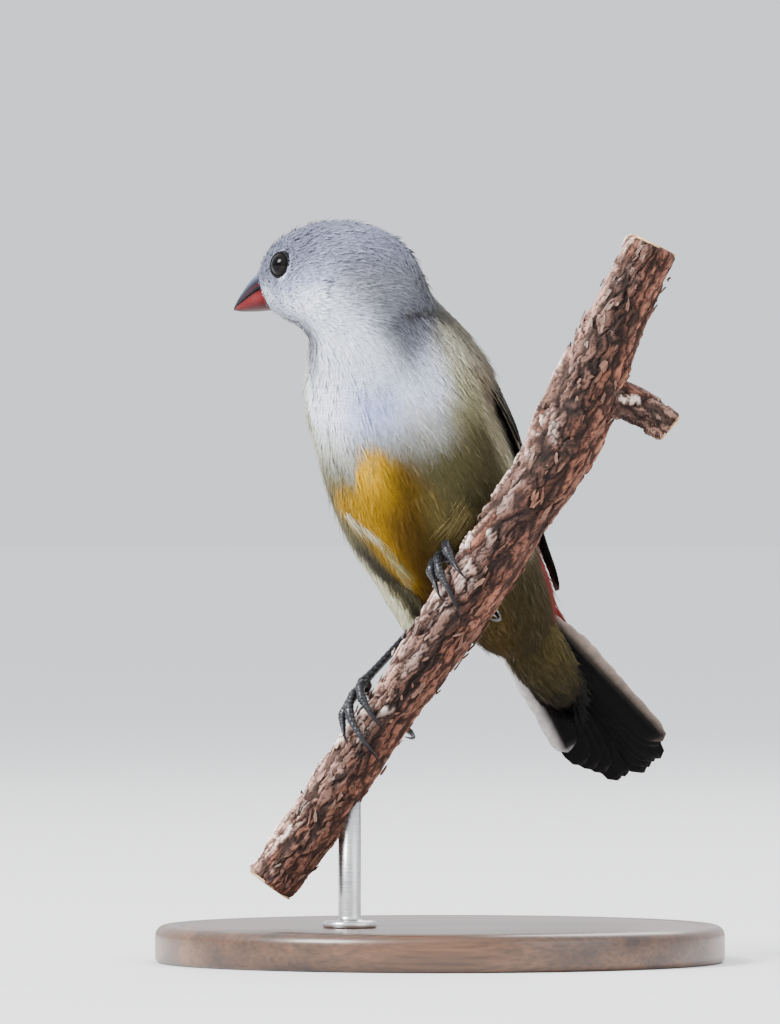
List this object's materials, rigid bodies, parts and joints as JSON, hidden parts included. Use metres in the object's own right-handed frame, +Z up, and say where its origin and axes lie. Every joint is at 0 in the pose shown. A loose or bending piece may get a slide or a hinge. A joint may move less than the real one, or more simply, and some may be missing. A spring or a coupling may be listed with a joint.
{
  "type": "bird model",
  "caption": "Life-size still model of a small waxbill with a yellow belly, grey head and red and black bill, gripping a short cut length of twig on a round display stand.",
  "frame": {"origin": "centre of the underside of the stand's round base, which is the centre of the box's lowest face", "axes": "+Z up, +X to the viewer's right as the bird is pictured, +Y away from the viewer"},
  "size_m": [0.076, 0.076, 0.0987],
  "materials": {
    "grey_plumage": "soft matt feathers",
    "pale_grey_plumage": "soft matt feathers",
    "yellow_plumage": "soft matt feathers",
    "pale_olive_plumage": "soft matt feathers",
    "olive_plumage": "soft matt feathers",
    "brown_feathers": "smooth flight feathers",
    "red_plumage": "soft matt feathers",
    "black_feathers": "smooth tail feathers",
    "eye": "wet gloss",
    "bill_black": "satin horn",
    "bill_red": "satin horn",
    "leg_skin": "scaly skin",
    "claw_horn": "satin horn",
    "pine_bark": "flaky bark",
    "stained_wood": "satin varnish",
    "steel": "brushed"
  },
  "bodies": {
    "root": {"head": "grey_plumage", "neck": "pale_grey_plumage", "torso": "yellow_plumage", "eye_left": "eye", "eye_right": "eye", "bill_upper": "bill_black", "bill_lower": "bill_red", "wing_left": "brown_feathers", "wing_right": "brown_feathers", "tail": "black_feathers", "upper_tail_coverts": "red_plumage", "under_tail_coverts": "olive_plumage", "thigh_left": "pale_olive_plumage", "thigh_right": "pale_olive_plumage", "tarsus_left": "leg_skin", "tarsus_right": "leg_skin", "foot_left": "leg_skin", "foot_right": "leg_skin", "perch_branch": "pine_bark", "stand_base": "stained_wood", "stand_rod": "steel", "claw_left_inner": "claw_horn", "claw_left_middle": "claw_horn", "claw_left_outer": "claw_horn", "claw_left_hind": "claw_horn", "claw_right_inner": "claw_horn", "claw_right_middle": "claw_horn", "claw_right_outer": "claw_horn", "claw_right_hind": "claw_horn"}
  },
  "joints": []
}
